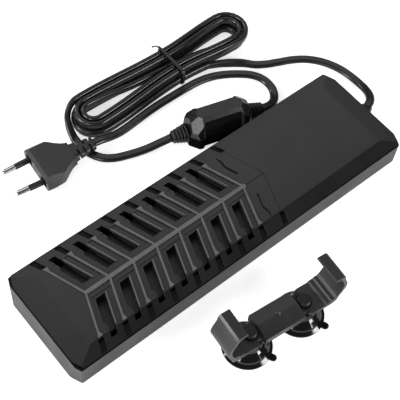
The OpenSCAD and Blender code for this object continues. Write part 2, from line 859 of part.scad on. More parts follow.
module lead_heater() {
    p = concat(heater_route, [hank_start]);
    n = len(p);
    color(rubber_black)
        tube(p, cord_section, [for (i = [0:n - 1]) -90 * ramp(i, n - 5, n - 1)],
            t0 = [cos(gland_turn), sin(gland_turn), 0], t1 = [-1, 0, 0]);
}

module lead_control_box() {
    p = concat([hank_end], box_route, [box_point(-box_reach, 0, box_axis_z)]);
    n = len(p);
    color(rubber_black)
        tube(p, cord_section, [for (i = [0:n - 1]) -90 * (1 - ramp(i, 2, 6))],
            t0 = [-1, 0, 0], t1 = [cos(box_turn), sin(box_turn), 0]);
}

module lead_plug() {
    p = concat([box_point(box_reach, 0, box_axis_z)], plug_route, [plug_point(plug_l + boot_l, 0)]);
    n = len(p);
    color(rubber_black)
        tube(p, cord_section, [for (i = [0:n - 1]) 0],
            t0 = [cos(box_turn), sin(box_turn), 0], t1 = [-cos(plug_turn), -sin(plug_turn), 0]);
}

// ---------- Hank: nine runs in two layers. The first layer spirals in, the middle run
// crosses to the other side while it climbs, and the second layer spirals out again.

hank_y = 106.3;
hank_x0 = -12;
hank_x1 = 101;
waist_x = 52;
start_x = 74;
runs = 9;
mid_run = 4;
run_parts = 6;
fold_parts = 6;
low_z = cord_w / 2;
high_z = low_z + cord_w + layer_gap;

// Share of the waist's draw at x: 1 at the tie, 0 at both folds
function waist(x) =
    let (t = x > waist_x ? (x - waist_x) / (hank_x1 - waist_x) : (waist_x - x) / (waist_x - hank_x0))
    pow(cos(90 * min(1, t)), 2);
function smooth(t) = let (s = min(1, max(0, t))) s * s * (3 - 2 * s);

// Offset of run k from the middle line, before and at the waist
function turns_in(k) = k <= mid_run ? k : 2 * mid_run - k;
function run_offset(k) = hank_r - turns_in(k) * hank_step / 2;
function waist_offset(k) = hank_r - waist_draw - turns_in(k) * waist_step / 2;
function run_side(k) = k < mid_run ? (k % 2 == 0 ? -1 : 1) : (k % 2 == 0 ? 1 : -1);
function run_height(k) = k < mid_run ? low_z : high_z;
// Distance from the waist along the middle run, from -1 at its start to 1 at its end
function cross_at(x) = x > waist_x ? -(x - waist_x) / (hank_x1 - waist_x)
    : (waist_x - x) / (waist_x - hank_x0);

function run_point(k, x) =
    let (w = waist(x), c = cross_at(x),
        y = k == mid_run
            ? sign(c) * run_offset(k) * smooth((abs(c) - 0.35) / 0.65)
            : run_side(k) * (run_offset(k) * (1 - w) + waist_offset(k) * w),
        z = k == mid_run
            ? low_z + (high_z - low_z) * smooth((c + 0.5))
            : run_height(k))
    [x, hank_y + y, z + waist_lift * w];

function run_from(k) = k == 0 ? start_x : k % 2 == 0 ? hank_x1 : hank_x0;
function run_to(k) = k == runs - 1 ? hank_x0 : k % 2 == 0 ? hank_x0 : hank_x1;
function run_points(k) =
    [for (j = [0:run_parts]) run_point(k, run_from(k) + (run_to(k) - run_from(k)) * j / run_parts)];

// Half circle from the end of run k to the start of run k + 1
function fold_points(k) =
    let (a = run_point(k, run_to(k)), b = run_point(k + 1, run_from(k + 1)),
        r = norm([a[0] - b[0], a[1] - b[1]]) / 2, c = (a + b) / 2,
        out = k % 2 == 0 ? -1 : 1, up = a[1] > c[1] ? 1 : -1)
    [for (j = [1:fold_parts - 1])
        let (t = 180 * j / fold_parts)
        [c[0] + out * r * sin(t), c[1] + up * r * cos(t), c[2]]];

hank_points = [for (k = [0:runs - 1])
    each concat(run_points(k), k < runs - 1 ? fold_points(k) : [])];
hank_start = hank_points[0];
hank_end = hank_points[len(hank_points) - 1];

// Least free distance between turns: from every point to every run that isn't its neighbour
function to_line(p, a, b) =
    let (t = min(1, max(0, (p - a) * (b - a) / ((b - a) * (b - a))))) p - a - t * (b - a);
function turn_gap(d) = norm([max(0, norm([d[0], d[1]]) - cord_t), max(0, abs(d[2]) - cord_w)]);
function least_gap(p) = min([for (i = [0:len(p) - 1], j = [0:len(p) - 2])
    if (abs(i - j) > 4 && norm(p[i] - p[j]) < 25) turn_gap(to_line(p[i], p[j], p[j + 1]))]);

module lead_hank() {
    echo(hank_least_gap = least_gap(hank_points), hank_length = route_length(hank_points));
    color(rubber_black)
        tube(hank_points, edge_section, [for (i = hank_points) 90],
            t0 = [-1, 0, 0], t1 = [-1, 0, 0]);
}

tail_route = [
    [0, 0, 0], [-0.6, 2, 0.5], [-1.4, 3.6, 0.5], [-2.6, 4.8, 0.1], [-4, 5.4, -0.4]];
tail_section = [for (s = [[1, 0.5], [0, 1], [-1, 0.5], [-1, -0.5], [0, -1], [1, -0.5]])
    [s[0] * tie_w * 0.4, s[1] * tie_t * 0.6]];

tie_play = 0.4;

module twist_tie() {
    half = hank_r - waist_draw + cord_t / 2 + tie_play;
    low = waist_lift - 0.15;
    high = high_z + cord_w / 2 + waist_lift + tie_play;
    mid = (low + high) / 2;
    color(rubber_black) {
        difference() {
            along(round_box([hank_y, mid], 2 * (half + tie_t), high - low + 2 * tie_t, 2.6),
                waist_x - tie_w / 2, waist_x + tie_w / 2);
            along(round_box([hank_y, mid], 2 * half, high - low, 2),
                waist_x - tie_w, waist_x + tie_w);
        }
        // twisted tail that curls back from the far shoulder
        translate([waist_x, hank_y + half - 2, high + tie_t - 0.15])
            tube(tail_route, tail_section, [for (i = [0:len(tail_route) - 1]) 30 * max(0, i - 1)]);
    }
}

// ---------- Inline control box

box_place = [47, 52.6];
box_turn = -15.5;
box_reach = box_l / 2 + relief_out;
function box_point(u, v, z) = [
    box_place[0] + u * cos(box_turn) - v * sin(box_turn),
    box_place[1] + u * sin(box_turn) + v * cos(box_turn), z];

module at_box() {
    translate([box_place[0], box_place[1], 0])
        rotate([0, 0, box_turn])
            children();
}

function both_ways(p) = concat(p, [for (i = [len(p) - 1:-1:0]) [-p[i][0], p[i][1]]]);

// Plan of the box, d in from its outside: flared ends and a narrower waist
flare_l = 8;
function box_plan(d) =
    let (x = box_l / 2 - d, y = box_w / 2 - d, k = box_corner - d / 2,
        waist = -x + flare_l - sqrt(2) * d,
        near = both_ways([[-x, -y + k], [-x + k, -y],
            [waist, -y], [waist + box_waist, -y + box_waist]]))
    concat(near, [for (i = [len(near) - 1:-1:0]) [near[i][0], -near[i][1]]]);

// Dome of the box: steep sides, a break at the shoulder, a flat top and sloped corner facets
side_in = 3;
end_in = 2;
top_in = 6.5;
corner_in = 7.4;
corner_z = 14.4;
module corner_facets(d, z0) {
    reach = (box_l / 2 + box_w / 2 - box_corner) / sqrt(2) - d;
    across(both_ways([[-reach, z0], [-reach, corner_z], [-reach + corner_in, box_h - d]]), box_l);
}

module box_form(d, z0) {
    w = box_w / 2 - d;
    l = box_l / 2 - d;
    low = box_split + 1;
    mid = box_shoulder - d / 2;
    lean = atan(side_in / (mid - low));
    waist = -l + flare_l - sqrt(2) * d;
    difference() {
        intersection() {
            plate(box_plan(d), z0, box_h - d);
            along(both_ways([[-w, z0], [-w, low], [-w + side_in, mid],
                [-box_top_w / 2 + d / 4, box_h - d]]), -box_l, box_l);
            across(both_ways([[-l, z0], [-l, low], [-l + end_in, mid],
                [-l + top_in - d / 4, box_h - d]]), box_w);
            rotate([0, 0, 45])
                corner_facets(d, z0);
            rotate([0, 0, -45])
                corner_facets(d, z0);
        }
        for (s = [-1, 1])
            translate([0, s * w, low])
                rotate([s * lean, 0, 0])
                    plate(both_ways([[waist - 1, s], [waist, 0],
                        [waist + box_waist, -s * box_waist * cos(lean)]]), -1, box_h);
    }
}

relief_core_d = 7.4;
relief_flange_d = relief_core_d + 2;
relief_play = 0.2;
flange_l = relief_in - box_wall - 0.5;

// Bores for both strain reliefs, with room for the flanges inside
module box_relief_bores() {
    translate([0, 0, box_axis_z])
        rotate([0, 90, 0]) {
            cylinder(d = relief_core_d + relief_play, h = box_l + 2, center = true);
            for (s = [-1, 1])
                translate([0, 0, s * (box_l / 2 - relief_in + flange_l / 2)])
                    cylinder(d = relief_flange_d + relief_play, h = flange_l + relief_play,
                        center = true);
        }
}

box_boss_d = 4.6;
box_screw_d = 2;
box_grip = 2.8;
box_head_d = 3.5;

// One screw at each end, at opposite corners
module at_box_bosses() {
    for (s = [-1, 1])
        translate([s * (box_l / 2 - 6.8), s * (box_w / 2 - box_wall - box_boss_d / 2 + 0.4), 0])
            children();
}

module box_base() {
    rest = box_axis_z - 4;
    color(rubber_black)
        at_box()
            difference() {
                union() {
                    difference() {
                        plate(box_plan(0), 0, box_split);
                        plate(box_plan(box_wall), box_wall, box_split + 1);
                    }
                    at_box_bosses()
                        cylinder(d = box_boss_d, h = box_split);
                    // rests under the board
                    for (x = [-8, 6])
                        box([x, -4.5, box_wall - eps], [x + 2, 4.5, rest]);
                }
                box_relief_bores();
                at_box_bosses() {
                    translate([0, 0, -1])
                        cylinder(d = box_screw_d + 0.3, h = box_split + 2);
                    translate([0, 0, -1])
                        cylinder(d = box_head_d + 0.4, h = 2.4);
                }
                // grip grooves round the flared ends
                for (z = [2, 3.8, 5.6])
                    difference() {
                        box([-box_l, -box_w, z], [box_l, box_w, z + 0.8]);
                        plate(box_plan(0.5), z - 1, z + 2);
                        box([-box_l / 2 + flare_l, -box_w, z - 1],
                            [box_l / 2 - flare_l, box_w, z + 2]);
                    }
            }
}

module box_top() {
    color(rubber_black)
        at_box()
            difference() {
                union() {
                    difference() {
                        box_form(0, box_split);
                        box_form(box_wall, box_split - 1);
                    }
                    intersection() {
                        box_form(0, box_split);
                        at_box_bosses()
                            cylinder(d = box_boss_d, h = box_split + box_grip + 1);
                    }
                }
                box_relief_bores();
                at_box_bosses()
                    cylinder(d = box_screw_d, h = box_split + box_grip);
            }
}

module box_board() {
    color(board_green)
        at_box() {
            box([-9, -4, box_axis_z - 4], [9, 4, box_axis_z - 4 + board_t]);
            box([-6, -3, box_axis_z - 4 + board_t - eps], [5, 3, box_axis_z + 4]);
        }
}

module box_screws() {
    color(steel)
        at_box()
            at_box_bosses() {
                translate([0, 0, 0.2])
                    cylinder(d = box_head_d, h = 1.2);
                translate([0, 0, 1.4 - eps])
                    cylinder(d = box_screw_d, h = box_split + box_grip - 1.4);
            }
}

// Growing rings on a core; the core runs on through the box wall to a flange inside
module ribbed_relief() {
    rings = 5;
    pitch = relief_out / rings;
    color(rubber_black)
        translate([0, 0, box_axis_z])
            rotate([0, 90, 0]) {
                translate([0, 0, -relief_in])
                    cylinder(d = relief_core_d, h = relief_in + relief_out);
                translate([0, 0, -relief_in])
                    cylinder(d = relief_flange_d, h = flange_l);
                for (i = [0:rings - 1])
                    translate([0, 0, 0.1 + i * pitch])
                        cylinder(d = relief_big_d - (relief_big_d - relief_d) * i / (rings - 1),
                            h = pitch * 0.62);
            }
}

module box_relief_left() {
    at_box()
        mirror([1, 0, 0])
            translate([box_l / 2, 0, 0])
                ribbed_relief();
}

module box_relief_right() {
    at_box()
        translate([box_l / 2, 0, 0])
            ribbed_relief();
}

// ---------- Two-pin plug, lying on its flat side

plug_place = [-65.5, 91.3];
plug_turn = -6;
plug_z = plug_h / 2 + 0.05;
neck_half = 6.8;
neck_h = 7;
function plug_point(u, v) = [
    plug_place[0] + u * cos(plug_turn) - v * sin(plug_turn),
    plug_place[1] + u * sin(plug_turn) + v * cos(plug_turn), plug_z];

module at_plug() {
    translate([plug_place[0], plug_place[1], plug_z])
        rotate([0, 0, plug_turn])
            children();
}

// Half width of the body at u: lobes at the front, a small step, then an S-curve to the neck
lobe_l = 6.4;
lobe_step = 0.8;
function plug_half(u) =
    let (t = max(0, (u - lobe_l) / (plug_l - lobe_l)))
    u < lobe_l ? plug_w / 2 - 0.9 * (1 - min(u, 4) / 4)
        : (plug_w / 2 - lobe_step) * (1 - smooth(t)) + neck_half * smooth(t);
plug_stations = [0, 2, 4, lobe_l - eps, lobe_l + eps, 9, 11, 13, 15, 17, 19, 21, 23, plug_l];
pin_hole_d = pin_d + 3.4;
pin_recess = 2;
pin_root = 14;
pin_core_d = pin_d - 0.8;
boot_root = 5;
pin_lean = atan(pin_toe_in / 2 / pin_l);

module at_pins() {
    for (s = [-1, 1])
        translate([0, s * pin_pitch / 2, 0])
            rotate([0, -90, s * pin_lean])
                children();
}

module plug_body() {
    half_h = plug_h / 2;
    bevel = 2.6;
    color(rubber_black)
        at_plug()
            difference() {
                intersection() {
                    plate(concat([for (u = plug_stations) [u, plug_half(u)]],
                        [for (i = [len(plug_stations) - 1:-1:0])
                            [plug_stations[i], -plug_half(plug_stations[i])]]),
                        -half_h, half_h);
                    across([[0, -half_h + bevel], [bevel - 0.6, -half_h], [5, -half_h],
                        [plug_l, -neck_h / 2], [plug_l, neck_h / 2], [5, half_h],
                        [bevel - 0.6, half_h], [0, half_h - bevel]], plug_w);
                    along([[-plug_w / 2, -1], [-plug_flat / 2, -half_h], [plug_flat / 2, -half_h],
                        [plug_w / 2, -1], [plug_w / 2, 1], [plug_flat / 2, half_h],
                        [-plug_flat / 2, half_h], [-plug_w / 2, 1]], -1, plug_l + 1);
                }
                at_pins() {
                    translate([0, 0, -pin_recess])
                        cylinder(d = pin_hole_d, h = 6);
                    translate([0, 0, -pin_root])
                        cylinder(d = pin_core_d, h = pin_root);
                }
                translate([plug_l - boot_root, 0, 0])
                    along(round_box([0, 0], 8, 5, 2), 0, boot_root + 1);
            }
}

// Slotted strain relief: a flat tapered sleeve whose cross slots bare a core round the cord
module plug_boot() {
    end_w = cord_w + 3.4;
    end_h = cord_t + 2.3;
    slots = 3;
    slot_w = 1.6;
    slot_pitch = boot_l / (slots + 0.6);
    spine = 0.7;
    color(rubber_black)
        at_plug()
            difference() {
                union() {
                    hull() {
                        translate([plug_l, 0, 0])
                            along(round_box([0, 0], 2 * neck_half - 0.6, neck_h - 0.6, 3), 0, 0.5);
                        translate([plug_l + boot_l, 0, 0])
                            along(round_box([0, 0], end_w, end_h, end_h / 2 - 0.1), -0.5, 0);
                    }
                    translate([plug_l - boot_root, 0, 0])
                        along(round_box([0, 0], 8, 5, 2), 0, boot_root + eps);
                }
                difference() {
                    for (i = [0:slots - 1], s = [-1, 1])
                        translate([plug_l + slot_pitch * (i + 0.75 + (s > 0 ? 0.4 : 0)),
                            s * (spine + neck_half / 2 + 1), 0])
                            cube([slot_w, neck_half + 2, 2 * neck_h], center = true);
                    along(round_box([0, 0], cord_w, cord_t, cord_t / 2 - 0.1),
                        plug_l - 1, plug_l + boot_l + 1);
                }
            }
}

// Each pin is a rod with a thicker bare tip; the sleeve fills the step between them
module plug_pins() {
    color(steel)
        at_plug()
            at_pins() {
                translate([0, 0, -pin_root])
                    cylinder(d = pin_core_d, h = pin_root + sleeve_l + eps);
                translate([0, 0, sleeve_l])
                    cylinder(d = pin_d, h = pin_l - sleeve_l - pin_d / 2);
                translate([0, 0, pin_l - pin_d / 2])
                    sphere(d = pin_d);
            }
}

module pin_sleeves() {
    color(rubber_black)
        at_plug()
            at_pins()
                difference() {
                    translate([0, 0, -pin_recess])
                        cylinder(d = pin_d, h = sleeve_l + pin_recess);
                    translate([0, 0, -pin_recess - 1])
                        cylinder(d = pin_core_d, h = sleeve_l + pin_recess + 2);
                }
}

// ---------- Clamp bracket on suction cups, standing beside the heater

bracket_place = [-18.2, -75.2];
bracket_turn = -6;
arm_tip = 3.5;
arm_play = 0.2;
sleeve_under = 1.2;
plate_top = plate_z + plate_t;
jaw_base_x = cup_pitch / 2 - 1.6;

module at_bracket() {
    translate([bracket_place[0], bracket_place[1], 0])
        rotate([0, 0, bracket_turn])
            children();
}

module bracket_sleeve() {
    half = sleeve_w / 2;
    low = plate_z - sleeve_under;
    color(soft_black)
        at_bracket()
            difference() {
                along([[-half, low + 0.6], [-half + 0.6, low], [half - 0.6, low], [half, low + 0.6],
                    [half, eave_z], [0.6, ridge_z], [-0.6, ridge_z], [-half, eave_z]],
                    -sleeve_len / 2, sleeve_len / 2);
                along([[-arm_w / 2 - arm_play, plate_z - arm_play],
                    [arm_w / 2 + arm_play, plate_z - arm_play],
                    [arm_w / 2 + arm_play, plate_top + arm_play],
                    [-arm_w / 2 - arm_play, plate_top + arm_play]], -sleeve_len, sleeve_len);
                translate([0, 0, ridge_z + 1.1])
                    sphere(r = 2);
            }
}

// Side view of a jaw: base plate, stepped foot, bulging wall and a lip over the heater.
// x runs outwards from the middle of the bracket.
wall_low = plate_top + 4;
wall_high = lip_z - 6;
bulge = 3;
function jaw_wall(x, bow, dir) =
    let (n = 8, ts = dir > 0 ? [0:n] : [n:-1:0])
    [for (i = ts) [x + bow * sin(180 * i / n), wall_low + (wall_high - wall_low) * i / n]];

function jaw_profile() = concat(
    [[jaw_base_x, plate_z], [grip_half - 2.5, plate_z], [grip_half + jaw_t - 1.5, plate_z + 1.5]],
    jaw_wall(grip_half + jaw_t, bulge, 1),
    [[grip_half + jaw_t - 0.9, lip_z - 1.6], [grip_half + jaw_t - 2.4, lip_z],
        [grip_half - lip_reach, lip_z], [grip_half - lip_reach - 0.5, lip_z - 1.2],
        [grip_half - 1.6, lip_z - 2.4]],
    jaw_wall(grip_half, bulge - 0.4, -1),
    [[grip_half - 1.6, wall_low - 1.4], [grip_half - 3.4, wall_low - 1.4],
        [grip_half - 4.2, wall_low - 2.6], [grip_half - 6.6, wall_low - 2.6],
        [grip_half - 7.4, plate_top], [jaw_base_x, plate_top]]);

module jaw() {
    half = jaw_w / 2;
    hole_x = cup_pitch / 2;
    color(soft_black)
        difference() {
            union() {
                intersection() {
                    across(jaw_profile(), half);
                    // the foot narrows round the suction cup's head
                    plate([[jaw_base_x, -half + 1.5], [jaw_base_x + 2.5, -half],
                        [grip_half + 20, -half], [grip_half + 20, half],
                        [jaw_base_x + 2.5, half], [jaw_base_x, half - 1.5]], 0, lip_z + 1);
                }
                box([arm_tip, -arm_w / 2, plate_z], [jaw_base_x + eps, arm_w / 2, plate_top]);
            }
            translate([hole_x, 0, plate_z - 1])
                cylinder(d = stem_d + 0.1, h = plate_t + 2);
            translate([hole_x, 0, plate_top - 0.6])
                cylinder(d = knob_d + 1.2, h = 3);
        }
}

module jaw_right() {
    at_bracket()
        jaw();
}

module jaw_left() {
    at_bracket()
        mirror([1, 0, 0])
            jaw();
}

module at_cup(side) {
    at_bracket()
        translate([side * cup_pitch / 2, 0, 0])
            children();
}

// Half section of a suction cup: thin bell, shoulder, stem and head
cup_hollow = 3.4;
shoulder_z = plate_z - 3.2;
module suction_cup(side) {
    rim = cup_d / 2;
    head_z = plate_top - 0.5;
    tab = 3.6;
    color(rubber_black)
        at_cup(side) {
            rotate_extrude()
                polygon([[0, cup_hollow], [rim * 0.35, cup_hollow * 0.85],
                    [rim * 0.7, cup_hollow * 0.4], [rim - 0.9, 0], [rim, 0], [rim - 0.1, 0.9],
                    [rim * 0.86, 2.3], [rim * 0.82, 3.4], [rim * 0.66, 5.8], [rim * 0.56, 7.2],
                    [rim * 0.48, shoulder_z],
                    [stem_d / 2, shoulder_z], [stem_d / 2, head_z], [knob_d / 2, head_z],
                    [knob_d / 2, head_z + knob_h - 0.6], [knob_d / 2 - 0.6, head_z + knob_h],
                    [0, head_z + knob_h]]);
            rotate([0, 0, -60])
                translate([rim - 0.6, 0, 0.15]) {
                    box([0, -2, 0], [tab - 1.4, 2, 1.1]);
                    translate([tab - 1.4, 0, 0])
                        cylinder(d = 4, h = 1.1);
                }
        }
}

module suction_cup_left() {
    suction_cup(-1);
}

module suction_cup_right() {
    suction_cup(1);
}

// Knurled collar between the cup's shoulder and the base plate
module cup_collar(side) {
    outer = cup_d * 0.27;
    teeth = 20;
    ring_top = plate_z - sleeve_under - 0.3;
    color(black)
        at_cup(side)
            difference() {
                union() {
                    translate([0, 0, shoulder_z])
                        cylinder(r = outer, h = ring_top - shoulder_z);
                    translate([0, 0, shoulder_z])
                        cylinder(r = knob_d / 2, h = plate_z - shoulder_z - 0.1);
                }
                translate([0, 0, shoulder_z - 1])
                    cylinder(d = stem_d + 0.1, h = 6);
                for (i = [0:teeth - 1])
                    rotate([0, 0, i * 360 / teeth])
                        translate([outer, 0, shoulder_z + 1.6])
                            cube([1, 1.1, 4], center = true);
            }
}

module cup_collar_left() {
    cup_collar(-1);
}

module cup_collar_right() {
    cup_collar(1);
}

rear_shell();
front_grille();
control_cover();
bulkhead();
compartment_seal();
heating_bar_left();
heating_bar_right();
bar_end_caps();
bar_cradles();
temperature_probe();
heater_wires();
control_board();
display_modules();
power_relay();
smoothing_capacitor();
triac_heat_sink();
touch_pads();
case_screws();
cord_gland();
lead_heater();
lead_hank();
lead_control_box();
twist_tie();
box_base();
box_top();
box_board();
box_screws();
box_relief_left();
box_relief_right();
lead_plug();
plug_body();
plug_boot();
plug_pins();
pin_sleeves();
bracket_sleeve();
jaw_left();
jaw_right();
suction_cup_left();
suction_cup_right();
cup_collar_left();
cup_collar_right();
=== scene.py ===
"""Looks of a flat submersible aquarium heater with its cord, control box, plug and bracket.

Lengths are in metres in the row frame: +X along the heater towards its display end,
+Y towards the cord side, +Z out of its front. MM turns millimetres into metres.
"""

import math

import bmesh
import bpy
import numpy as np
from mathutils import Matrix, Vector


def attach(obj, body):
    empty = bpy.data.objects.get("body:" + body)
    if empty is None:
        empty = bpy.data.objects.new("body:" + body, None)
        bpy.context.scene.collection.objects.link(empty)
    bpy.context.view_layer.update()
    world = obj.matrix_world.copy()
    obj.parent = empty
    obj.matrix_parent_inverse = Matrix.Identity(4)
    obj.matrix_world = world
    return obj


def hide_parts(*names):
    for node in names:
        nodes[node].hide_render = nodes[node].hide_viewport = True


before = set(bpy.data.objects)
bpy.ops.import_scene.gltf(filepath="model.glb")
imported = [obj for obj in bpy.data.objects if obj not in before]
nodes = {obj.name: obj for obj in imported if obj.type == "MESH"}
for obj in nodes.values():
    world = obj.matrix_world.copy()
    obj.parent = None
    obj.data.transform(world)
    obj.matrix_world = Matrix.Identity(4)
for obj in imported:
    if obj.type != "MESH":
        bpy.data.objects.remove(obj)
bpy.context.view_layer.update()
MM = 0.001


# ---------------------------------------------------------------- camera

# Angles in degrees, focal length and shifts in pixels of the photo, distance and LOW_X in
# millimetres; the camera was solved in a frame whose origin is the heater's low end
AZ, EL, ROLL = -45.525, 57.938, 7.046
FOCAL_PX, DIST, SHIFT_U, SHIFT_V = 980.119, 547.846, -156.35, -138.873
PHOTO_PX, SENSOR = 400, 36
LOW_X = -124


def make_camera():
    a, e, r = (math.radians(x) for x in (AZ, EL, ROLL))
    back = Vector((math.cos(e) * math.sin(a), -math.cos(e) * math.cos(a), math.sin(e)))
    right = Vector((math.cos(a), math.sin(a), 0))
    up = back.cross(right)
    x_row = math.cos(r) * right + math.sin(r) * up
    y_row = -math.sin(r) * right + math.cos(r) * up
    turn = Matrix((x_row, y_row, back)).transposed()
    data = bpy.data.cameras.new("camera")
    data.sensor_width = SENSOR
    data.lens = FOCAL_PX / PHOTO_PX * SENSOR
    data.clip_start, data.clip_end = 0.05, 10
    camera = bpy.data.objects.new("camera", data)
    bpy.context.scene.collection.objects.link(camera)
    place = turn @ Vector((-SHIFT_U * DIST / FOCAL_PX, -SHIFT_V * DIST / FOCAL_PX, DIST))
    place.x += LOW_X
    camera.matrix_world = Matrix.Translation(place * MM) @ turn.to_4x4()
    bpy.context.scene.camera = camera


make_camera()


# ---------------------------------------------------------------- small tools

def link(obj):
    bpy.context.scene.collection.objects.link(obj)
    return obj


def mesh_piece(name, verts, faces, smooth=True):
    mesh = bpy.data.meshes.new(name)
    mesh.from_pydata([tuple(v) for v in verts], [], faces)
    mesh.validate()
    if smooth:
        mesh.polygons.foreach_set("use_smooth", [True] * len(mesh.polygons))
    return link(bpy.data.objects.new(name, mesh))


def spline(points, per=8):
    """Catmull-Rom curve through the points, with per steps to each span."""
    p = [np.array(x, float) for x in points]
    p = [2 * p[0] - p[1]] + p + [2 * p[-1] - p[-2]]
    out = []
    for i in range(1, len(p) - 2):
        for j in range(per):
            t = j / per
            out.append(0.5 * ((2 * p[i]) + (p[i + 1] - p[i - 1]) * t
                              + (2 * p[i - 1] - 5 * p[i] + 4 * p[i + 1] - p[i + 2]) * t * t
                              + (3 * p[i] - p[i - 1] - 3 * p[i + 1] + p[i + 2]) * t ** 3))
    out.append(p[-2])
    return out


def smooth_step(t):
    """0 to 1 with a soft start and end, held at both outside."""
    t = min(1, max(0, t))
    return t * t * (3 - 2 * t)


def swept(name, path, section, twists, ends):
    """Tube with its own section and twist (degrees) along the path, closed at both ends; ends
    are the directions that it leaves and arrives in."""
    n, m = len(path), len(section)
    verts = []
    for i, c in enumerate(path):
        t = path[min(i + 1, n - 1)] - path[max(i - 1, 0)]
        if i == 0:
            t = np.array(ends[0], float)
        if i == n - 1:
            t = np.array(ends[1], float)
        t = t / np.linalg.norm(t)
        side = np.array([-t[1], t[0], 0])
        side = side / np.linalg.norm(side)
        up = np.cross(t, side)
        a = math.radians(twists[i])
        for s in section:
            verts.append(c + side * (s[0] * math.cos(a) - s[1] * math.sin(a))
                         + up * (s[0] * math.sin(a) + s[1] * math.cos(a)))
    faces = [[i * m + k, i * m + (k + 1) % m, (i + 1) * m + (k + 1) % m, (i + 1) * m + k]
             for i in range(n - 1) for k in range(m)]
    faces += [list(range(m)), list(range((n - 1) * m, n * m))[::-1]]
    piece = mesh_piece(name, verts, faces)
    fix_normals(piece)
    return piece


def fix_normals(piece):
    bm = bmesh.new()
    bm.from_mesh(piece.data)
    bmesh.ops.recalc_face_normals(bm, faces=bm.faces)
    bm.to_mesh(piece.data)
    bm.free()


# ---------------------------------------------------------------- cords

# Width, thickness and clearance between layers of the hank, in millimetres
CORD_W, CORD_T = 5.8, 3.6
LAYER_GAP = 0.5
# Half the angle of a lobe that its neighbour hides, in degrees
CREASE = 62
# Steps of the path to a span of a route, steps that the quarter turn onto the cord's edge takes,
# and steps into the last run's end where it turns back
SPAN_STEPS, TURN_STEPS, TURN_DELAY = 6, 24, 12


def cord_section(steps=7):
    """Flat twin cord: two round lobes that meet in a shallow crease on each flat side."""
    r, c = CORD_T / 2, CORD_W / 2 - CORD_T / 2
    pts = []
    for s in (1, -1):
        for k in range(steps + 1):
            a = math.radians(-180 + CREASE + (360 - 2 * CREASE) * k / steps)
            x, y = c + r * math.cos(a), r * math.sin(a)
            pts.append((s * x, s * y))
    return [(x * MM, y * MM) for x, y in pts]


# The same routes as the part's source, in millimetres
HEATER_ROUTE = [
    (132, 2.5, 9), (137.4, 4.9, 8.4), (141.6, 9, 7), (144.4, 14.6, 5.2), (146, 21.4, 3.4),
    (146.6, 29, 2.2), (145.8, 37, 1.8), (143.2, 45, 1.8), (138.6, 53, 1.8), (132, 60, 1.8),
    (124, 65.2, 1.8), (115.6, 69, 1.8), (107.8, 72.6, 1.8), (101, 77, 1.8),
    (95.4, 82.2, 2.34), (89, 87, 2.6), (82, 91, 2.96)]
BOX_ROUTE = [
    (-17.6, 119.5, 9.2), (-22.7, 117, 8.6), (-27, 112.8, 7.2), (-29.7, 107, 4.9),
    (-31.1, 100.8, 2.8), (-31.4, 96.8, 2), (-31.3, 92.6, 1.81), (-30.3, 86.8, 1.8),
    (-28.2, 81.4, 1.8), (-24.6, 76.4, 1.8), (-19, 72.6, 1.8), (-12.4, 70, 1.8), (-5.4, 67.8, 1.8),
    (1.6, 65.8, 2.4), (8.2, 63.8, 4.2)]
PLUG_ROUTE = [
    (83.6, 43.7, 5.4), (89, 45.4, 3.6), (93.6, 49.2, 2.2), (96.7, 54.5, 1.8), (97.6, 61, 1.8),
    (96.2, 67, 1.8), (92.6, 72.4, 1.8), (87.4, 77, 1.8), (81.4, 81.2, 1.8), (74.8, 84.8, 1.8),
    (67.8, 87.3, 1.8), (60, 88.7, 1.8), (52, 89.2, 1.8), (44, 89.3, 1.8), (36, 89.3, 1.8),
    (28, 89.2, 1.8), (20, 88.8, 1.8), (11, 88, 1.8), (2.4, 87.1, 1.8), (-5.6, 86.4, 2.4),
    (-12.8, 86.1, 4.2), (-19.8, 86.5, 6.2)]

# Where the cords' ends sit: places and lengths in millimetres, turns in degrees
GLAND_TURN = 20
BOX_PLACE, BOX_TURN, BOX_L, BOX_AXIS_Z, RELIEF = (47, 52.6), -15.5, 44, 6.8, 10
PLUG_PLACE, PLUG_TURN, PLUG_L, BOOT_L, PLUG_H = (-65.5, 91.3), -6, 25, 15, 13.7


def turned(place, turn, u, v, z):
    a = math.radians(turn)
    return (place[0] + u * math.cos(a) - v * math.sin(a),
            place[1] + u * math.sin(a) + v * math.cos(a), z)


def box_point(u, v, z):
    return turned(BOX_PLACE, BOX_TURN, u, v, z)


def plug_point(u, v, z=PLUG_H / 2 + 0.05):
    return turned(PLUG_PLACE, PLUG_TURN, u, v, z)


# The hank: r is half its width over the outer run's middle, step the gap between runs, mid the run
# that crosses from the lower layer to the upper; at the waist the tie draws it in and lifts it
HANK = dict(r=13.9, step=4.2, waist_step=4.3, draw=3.4, lift=1.0, y=106.3, x0=-12, x1=101,
            waist_x=52, start_x=74, runs=9, mid=4)
# Heights of the cord's middle in the hank's two layers
LOW_Z = CORD_W / 2
HIGH_Z = LOW_Z + CORD_W + LAYER_GAP


# Share of the half length at which the middle run starts to leave the hank's middle line
CROSSING = 0.35


